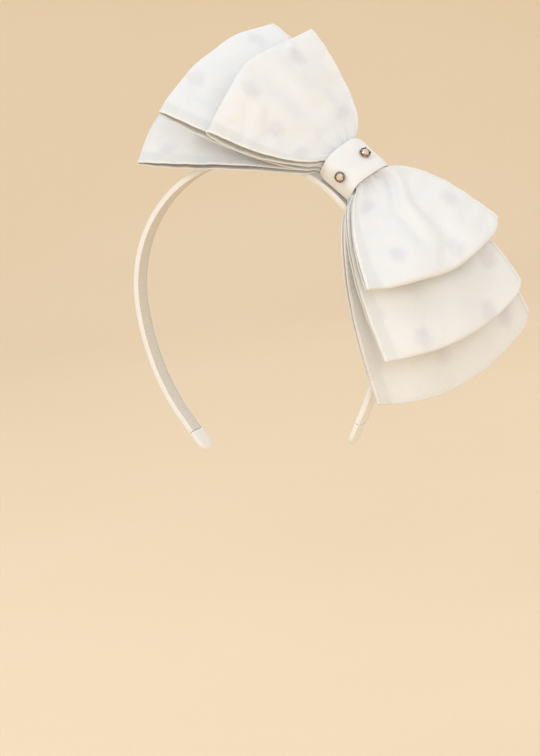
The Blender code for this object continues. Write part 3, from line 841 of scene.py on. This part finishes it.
def band_line(side, tip_end):
    """Stations of one half of the band, from under the bow to a tip, and the run to each."""
    last = side * STRAIGHT_FROM
    count = int(abs(last - BOW_ANGLE) / BAND_STEP)
    stations = [band_station(BOW_ANGLE + (last - BOW_ANGLE) * i / count) for i in range(count + 1)]
    for i in range(1, 9):
        stations.append(tip_station(side, tip_end * i / 8))
    points = np.array([s[0] for s in stations])
    return points, np.array([s[1] for s in stations]), run_along(points)


def sweep_band(name, profile, side, tip_end, material, cloth_across=None):
    points, outward, run = band_line(side, tip_end)
    profile = np.asarray(profile)
    grid = points[:, None, :] + outward[:, None, :] * profile[None, :, 1:2]
    grid = grid + np.array([0, 1.0, 0])[None, None, :] * profile[None, :, 0:1]
    obj = new_mesh(name, grid, tube_faces(len(points), len(profile)), material, sharp=50)
    fix_normals(obj)
    if cloth_across is not None:
        set_cloth(obj, np.stack(np.broadcast_arrays(run[:, None], cloth_across[None, :], 0.0), axis=-1))
    return obj, run[-1]


def ribbon_profile():
    """A channel over the outer face and both edges, with soft corners and a slight crown."""
    inner = CORE_HALF_WIDTH + GAP
    outer = inner + RIBBON_THICK
    under, low = CORE_HALF_THICK + GAP, -(CORE_HALF_THICK + GAP + LINING_THICK)
    top = under + RIBBON_THICK
    soft = RIBBON_THICK * 0.9
    points, across = [], []
    for sign in (1, -1):
        side = [(outer - 0.0001, low, 1.0), (outer, low + 0.0002, 0.98), (outer, 0.0, 0.93)]
        for k in range(5):
            turn = math.radians(90 * k / 4)
            side.append((outer - soft + soft * math.cos(turn), top - soft + soft * math.sin(turn),
                         0.90 - 0.02 * k))
        for share in (0.6, 0.3):
            side.append((outer * share, top + RIBBON_CROWN * (1 - share ** 2), share))
        if sign < 0:
            side = side[::-1]
        for a, out, place in side:
            points.append((sign * a, out))
            across.append(sign * place)
        if sign > 0:
            points.append((0.0, top + RIBBON_CROWN))
            across.append(0.0)
    points += [(-inner, low), (-inner, under), (inner, under), (inner, low)]
    across += [-1.0, -0.9, 0.9, 1.0]
    return points, np.array(across)


def build_band(mats):
    profile, across = ribbon_profile()
    half = CORE_HALF_WIDTH
    inner = CORE_HALF_WIDTH + LINING_MARGIN
    thick_low = -(CORE_HALF_THICK + GAP + LINING_THICK)
    lining = [(-inner, thick_low + 0.0001), (-inner + 0.0001, thick_low), (-inner * 0.5, thick_low),
              (0, thick_low), (inner * 0.5, thick_low), (inner - 0.0001, thick_low),
              (inner, thick_low + 0.0001), (inner, -CORE_HALF_THICK - GAP),
              (0, -CORE_HALF_THICK - GAP), (-inner, -CORE_HALF_THICK - GAP)]
    lining_across = np.array([-1, -0.97, -0.5, 0, 0.5, 0.97, 1, 1, 0, -1.0])
    core = [(-half, -CORE_HALF_THICK), (half, -CORE_HALF_THICK), (half, CORE_HALF_THICK),
            (-half, CORE_HALF_THICK)]
    cover_end = TIP_LENGTH - POCKET_LENGTH - GAP
    core_end = TIP_LENGTH - POCKET_LENGTH + POCKET_DEPTH
    for side, word in ((-1, "left"), (1, "right")):
        ribbon, length = sweep_band(word + "_band_ribbon", profile, side, cover_end, mats["satin"], across)
        under, _ = sweep_band(word + "_band_lining", lining, side, cover_end, mats["grosgrain"],
                              lining_across)
        inside, _ = sweep_band(word + "_band_core", core, side, core_end, mats["core"])
        nodes = {ribbon: "ribbon", under: "lining", inside: "core"}
        for piece, kind in nodes.items():
            arm = f"{word}_arm_{kind}"
            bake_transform(piece)
            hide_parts(arm, *(["crown_" + kind] if side < 0 else []))
        build_pocket(word, side, mats)


def build_pocket(word, side, mats):
    """Round-ended ribbon pocket over a tip, open at its mouth for the core."""
    start, outward = tip_station(side, TIP_LENGTH - POCKET_LENGTH)
    along = (tip_station(side, TIP_LENGTH)[0] - start) / POCKET_LENGTH
    half = CORE_HALF_WIDTH + GAP + POCKET_WALL
    thick = CORE_HALF_THICK + GAP + POCKET_WALL
    slot_half, slot_thick = CORE_HALF_WIDTH + GAP, CORE_HALF_THICK + GAP
    count = 40
    turn = np.linspace(0, 2 * np.pi, count, endpoint=False)
    rows = [(POCKET_DEPTH + GAP, slot_half, slot_thick, 0.2), (0.0, slot_half, slot_thick, 0.2),
            (0.0, half - 0.00025, thick - 0.00025, 0.4), (0.0003, half, thick, 0.4)]
    for distance in (0.002, 0.0045, 0.0068):
        rows.append((distance, half, thick - 0.0001, 0.4))
    for k in range(9):
        angle = math.radians(88 * k / 8)
        rows.append((POCKET_LENGTH - half + half * math.sin(angle), half * math.cos(angle),
                     thick * (0.35 + 0.65 * math.cos(angle) ** 0.5), 0.45))
    points, cloth = [], []
    for distance, wide, deep, power in rows:
        across, out = squared(turn, power)
        for a, o in zip(wide * across, deep * out):
            points.append(start + along * distance + np.array([0, a, 0]) + outward * o)
            cloth.append((distance, a / half, 0))
    pocket = new_mesh(word + "_tip_cover", points, tube_faces(len(rows), count), mats["satin"],
                      sharp=60)
    fix_normals(pocket)
    set_cloth(pocket, cloth)
    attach(pocket, word + "_arm")
    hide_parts(word + "_tip_pocket")


# ---- stones ----

def stone_matrix(degrees, along):
    y, z = strap_section(degrees, STRAP_HALF_ACROSS, STRAP_HALF_DEEP)
    angle = math.radians(degrees)
    power = 2 * (STRAP_ROUNDNESS - 1) / STRAP_ROUNDNESS
    out = Vector((0, math.copysign(abs(math.cos(angle)) ** power, math.cos(angle)) / STRAP_HALF_ACROSS,
                  math.copysign(abs(math.sin(angle)) ** power, math.sin(angle)) / STRAP_HALF_DEEP))
    out.normalize()
    side = Vector((1, 0, 0))
    turned = Matrix((side, out.cross(side), out)).transposed().to_4x4()
    return np.array(Matrix(BOW_FRAME.tolist()) @ Matrix.Translation((along, y, z)) @ turned)


def ring(count, radius, height, turn=0.0):
    angle = 2 * np.pi * np.arange(count) / count + math.radians(turn)
    return [(radius * math.cos(a), radius * math.sin(a), height) for a in angle]


def build_stone(word, matrix, mats):
    """Round brilliant: table, stars, kites, upper halves, girdle and pavilion."""
    points = ring(8, STONE_TABLE, STONE_TOP, 22.5)
    points += ring(8, STAR_RADIUS, STONE_GIRDLE + STAR_RISE)
    points += ring(16, STONE_RADIUS, STONE_GIRDLE + STONE_GIRDLE_DEEP / 2)
    points += ring(16, STONE_RADIUS, STONE_GIRDLE - STONE_GIRDLE_DEEP / 2)
    points += [(0, 0, STONE_POINT)]
    table, stars, upper, lower, culet = 0, 8, 16, 32, 48
    faces = [tuple(range(8))]
    for i in range(8):
        j = (i + 1) % 8
        # table corner i lies between star corners i and j
        faces.append((table + i, stars + j, table + j))
        faces.append((table + i, stars + i, upper + 2 * i + 1, stars + j))
        faces.append((stars + i, upper + 2 * i, upper + 2 * i + 1))
        faces.append((stars + j, upper + 2 * i + 1, upper + (2 * i + 2) % 16))
    for i in range(16):
        j = (i + 1) % 16
        faces.append((upper + i, lower + i, lower + j, upper + j))
        faces.append((lower + i, culet, lower + j))
    stone = new_mesh(word + "_crystal", to_world(points, matrix), faces, mats["crystal"], smooth=False)
    fix_normals(stone)
    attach(stone, "root")
    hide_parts(word + "_stone")


def build_claws(word, matrix, mats):
    """A turned cup with four claws bent over the stone's crown."""
    profile = [(0.0012, 0.0003), (0.0024, 0.0003), (CUP_OUTER, 0.0005), (CUP_OUTER, 0.00135),
               (CUP_OUTER - 0.00008, 0.00158), (CUP_OUTER - 0.00018, 0.00163),
               (CUP_INNER + 0.00005, 0.00158), (CUP_INNER, 0.0014), (CUP_INNER, 0.0008),
               (0.0019, 0.0006), (0.0012, 0.0006)]
    count = 48
    points = []
    for i in range(count):
        a = 2 * np.pi * i / count
        points += [(r * math.cos(a), r * math.sin(a), h) for r, h in profile]
    faces = grid_faces(count, len(profile), wrap_rows=True, wrap_columns=True)
    path = [(0.00262, 0.0007), (0.00264, 0.0013), (0.00258, 0.0018), (0.00240, 0.00218),
            (0.00212, 0.00234), (0.00182, 0.00240), (0.00168, 0.00238)]
    fat = [0.00022, 0.00024, 0.00025, 0.00026, 0.00026, 0.00021, 0.00008]
    sides = 10
    for quarter in range(4):
        a = math.radians(45 + 90 * quarter)
        outward = np.array([math.cos(a), math.sin(a), 0])
        side = np.array([-math.sin(a), math.cos(a), 0])
        base = len(points)
        for k, ((r, h), size) in enumerate(zip(path, fat)):
            ahead = np.array(path[min(k + 1, len(path) - 1)]) - np.array(path[max(k - 1, 0)])
            ahead = ahead / np.linalg.norm(ahead)
            up = outward * -ahead[1] + np.array([0, 0, ahead[0]])
            middle = outward * r + np.array([0, 0, h])
            for m in range(sides):
                turn = 2 * np.pi * m / sides
                points.append(tuple(middle + side * size * 1.35 * math.cos(turn)
                                    + up * size * math.sin(turn)))
        faces += [tuple(base + i for i in face) for face in tube_faces(len(path), sides)]
    setting = new_mesh(word + "_claws", to_world(points, matrix), faces, mats["metal"], sharp=40)
    fix_normals(setting)
    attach(setting, "root")
    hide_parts(word + "_setting")


# ---- studio ----

def build_camera():
    """Three quarters from the front, a little above, with the camera rolled a little."""
    away = np.array([0.4669, -0.8781, 0.1045])
    right = np.array([0.8816, 0.4529, -0.1333])
    up = np.array([0.0697, 0.1544, 0.9856])
    location = away * 1.2
    target = right * 0.0055 - up * 0.0419
    forward = unit(target - location)
    right = unit(np.cross(forward, up))
    up = np.cross(right, forward)
    camera = bpy.data.objects.new("camera", bpy.data.cameras.new("camera"))
    bpy.context.collection.objects.link(camera)
    turned = Matrix((tuple(right), tuple(up), tuple(-forward))).transposed().to_4x4()
    camera.matrix_world = Matrix.Translation(Vector(location)) @ turned
    camera.data.lens = 114.3
    camera.data.sensor_width = 36.0
    camera.data.clip_end = 20
    camera.data.dof.use_dof = False
    bpy.context.scene.camera = camera


def add_light(name, location, size, watts, colour=(1, 1, 1), target=(0.01, 0, 0.01)):
    data = bpy.data.lights.new(name, "AREA")
    data.shape = "DISK"
    data.size = size
    data.energy = watts
    data.color = colour
    light = bpy.data.objects.new(name, data)
    light.location = location
    light.rotation_euler = (Vector(target) - Vector(location)).to_track_quat("-Z", "Y").to_euler()
    bpy.context.collection.objects.link(light)


def build_studio():
    s = Shader("paper", 0.95)
    place = s.place()
    clouds, fine = s.noise(place, 2.0, 3.0), s.noise(place, 300.0, 2.0)
    tone = s.mix(s.remap(clouds, 0.3, 0.7), (0.83, 0.655, 0.445), (0.85, 0.68, 0.475))
    paper = s.finish(tone, s.remap(fine, 0.3, 0.7, 0.9, 1.0), s.bump(fine, 0.0002))
    rings, count, floor = [], 96, -0.20
    for radius in (0.05, 0.2, 0.5, 1.0, 1.6):
        rings.append((radius, floor))
    for k in range(1, 10):
        turn = math.radians(80 * k / 9)
        rings.append((1.6 + 0.9 * math.sin(turn), floor + 0.9 * (1 - math.cos(turn))))
    angle = 2 * np.pi * np.arange(count) / count
    points = [(r * math.cos(a), r * math.sin(a), h) for r, h in rings for a in angle]
    faces = grid_faces(len(rings), count, wrap_columns=True)
    faces.append(tuple(range(count)))
    sweep = new_mesh("backdrop", points, faces, paper)
    fix_normals(sweep)
    sweep.data.flip_normals()

    world = bpy.data.worlds.new("studio")
    world.use_nodes = True
    world.node_tree.nodes["Background"].inputs["Color"].default_value = (0.97, 0.985, 1.0, 1)
    world.node_tree.nodes["Background"].inputs["Strength"].default_value = 0.88
    bpy.context.scene.world = world
    add_light("key", (-0.55, -1.1, 1.25), 0.9, 5.2, (0.95, 0.98, 1.0))
    add_light("fill", (1.0, -1.35, 0.35), 1.2, 9.5, (0.93, 0.97, 1.0), (0.05, 0, -0.02))
    add_light("back", (-0.45, 1.0, 1.4), 1.0, 3.0, (0.98, 0.99, 1.0))
    bpy.context.scene.view_settings.view_transform = "Standard"


def main():
    build_camera()
    build_studio()
    white, warm = (0.80, 0.803, 0.80), (0.775, 0.773, 0.765)
    mats = {
        "organza": cloth_material("organza", white, warm, 0.00056, 0.10, 0.00006, sheen=0.25,
                                  dots=(0.70, 0.69, 0.715), sheer=(0.72, 0.72, 0.71)),
        "loop_lining": cloth_material("loop_lining", (0.93, 0.915, 0.87), (0.90, 0.88, 0.83), 0.0004,
                                      0.05, 0.00004, sheen=0.1, rough=0.85),
        "strap": cloth_material("strap", (0.82, 0.815, 0.80), (0.785, 0.775, 0.755), 0.00042, 0.05,
                                0.00004, sheen=0.35, rough=0.6, crinkle=0.0003),
        "satin": ribbon_material("satin", (0.86, 0.85, 0.82), (0.80, 0.78, 0.74), 0.00045, 0.00003,
                                 0.36, 0.2, 0.86),
        "grosgrain": ribbon_material("grosgrain", (0.74, 0.70, 0.64), (0.66, 0.62, 0.55), 0.0009,
                                     0.00012, 0.65, 0.2, 0.9),
        "hem": fold_material("hem", (0.82, 0.81, 0.79), (0.77, 0.755, 0.72)),
        "stitch": thread_material("stitch", (0.80, 0.77, 0.70), 0.0005),
        "core": plastic_material("core", (0.78, 0.76, 0.72), 0.45),
        "thread": thread_material("thread", (0.82, 0.80, 0.76)),
        "glue": glue_material("glue"),
        "crystal": crystal_material("crystal"),
        "metal": metal_material("setting_metal"),
    }
    for node, key in (("gather_thread", "thread"), ("glue_bed", "glue")):
        NODES[node].material_slots[0].material = mats[key]
    build_band(mats)
    for word, tier in TIERS.items():
        build_tier(word, tier, mats)
    build_strap(mats)
    for word, place in STONES.items():
        matrix = stone_matrix(*place)
        build_stone(word, matrix, mats)
        build_claws(word, matrix, mats)


main()
